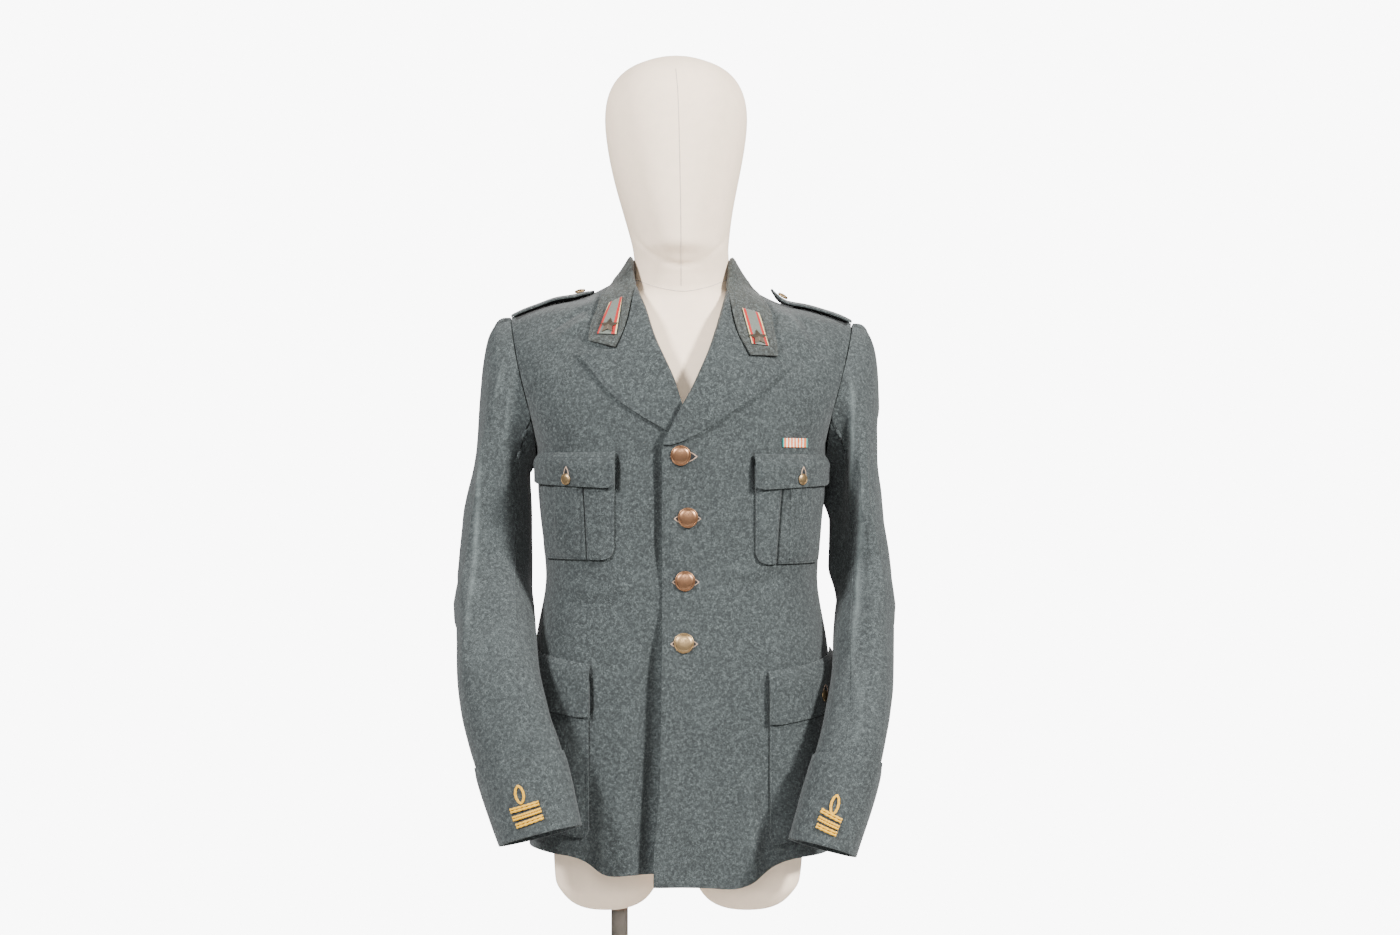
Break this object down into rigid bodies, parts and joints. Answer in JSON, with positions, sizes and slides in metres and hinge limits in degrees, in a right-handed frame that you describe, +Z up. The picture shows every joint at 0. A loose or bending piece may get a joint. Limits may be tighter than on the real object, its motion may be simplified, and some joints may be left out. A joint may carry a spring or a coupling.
{
  "type": "military dress tunic on dress form",
  "caption": "Buttoned wool dress tunic with peaked lapels, patch pockets, shoulder straps and braided cuffs, worn by a limbless dress form on a pole stand.",
  "frame": {"origin": "centre of the stand's round base, on its underside", "axes": "+Z up along the pole, -Y the tunic's front, +X the wearer's left"},
  "size_m": [0.5109, 0.4049, 1.2655],
  "materials": {
    "wool": "grey-green melange wool, matt and slightly hairy",
    "linen": "cream linen stretched smooth over the form",
    "copper_brown": "worn copper-brown plating, satin",
    "aged_brass": "aged brass, satin",
    "dark_bronze": "dark bronze, worn bright on its ridges",
    "ribbon": "woven silk ribbon, striped",
    "gold_braid": "gold thread braid, slightly shiny",
    "dark_steel": "dark brushed steel"
  },
  "bodies": {
    "root": {"front_right": "wool", "front_left": "wool", "back_right": "wool", "back_left": "wool", "sleeve_right_upper": "wool", "sleeve_right_under": "wool", "sleeve_left_upper": "wool", "sleeve_left_under": "wool", "cuff_right": "wool", "cuff_left": "wool", "collar": "wool", "lapel_right": "wool", "lapel_left": "wool", "shoulder_strap_right": "wool", "shoulder_strap_left": "wool", "breast_pocket_right": "wool", "breast_pocket_left": "wool", "breast_flap_right": "wool", "breast_flap_left": "wool", "hip_pocket_right": "wool", "hip_pocket_left": "wool", "hip_flap_right": "wool", "hip_flap_left": "wool", "front_button_1": "copper_brown", "front_button_2": "copper_brown", "front_button_3": "copper_brown", "front_button_4": "aged_brass", "breast_button_right": "aged_brass", "breast_button_left": "aged_brass", "hip_button_right": "aged_brass", "hip_button_left": "aged_brass", "strap_button_right": "aged_brass", "strap_button_left": "aged_brass", "collar_tab_right": "ribbon", "collar_tab_left": "ribbon", "collar_star_right": "dark_bronze", "collar_star_left": "dark_bronze", "ribbon_bar": "ribbon", "cuff_braid_loop_right": "gold_braid", "cuff_braid_loop_left": "gold_braid", "cuff_braid_top_right": "gold_braid", "cuff_braid_top_left": "gold_braid", "cuff_braid_middle_right": "gold_braid", "cuff_braid_middle_left": "gold_braid", "cuff_braid_low_right": "gold_braid", "cuff_braid_low_left": "gold_braid", "dress_form": "linen", "stand_pole": "dark_steel", "stand_base": "dark_steel"}
  },
  "joints": []
}
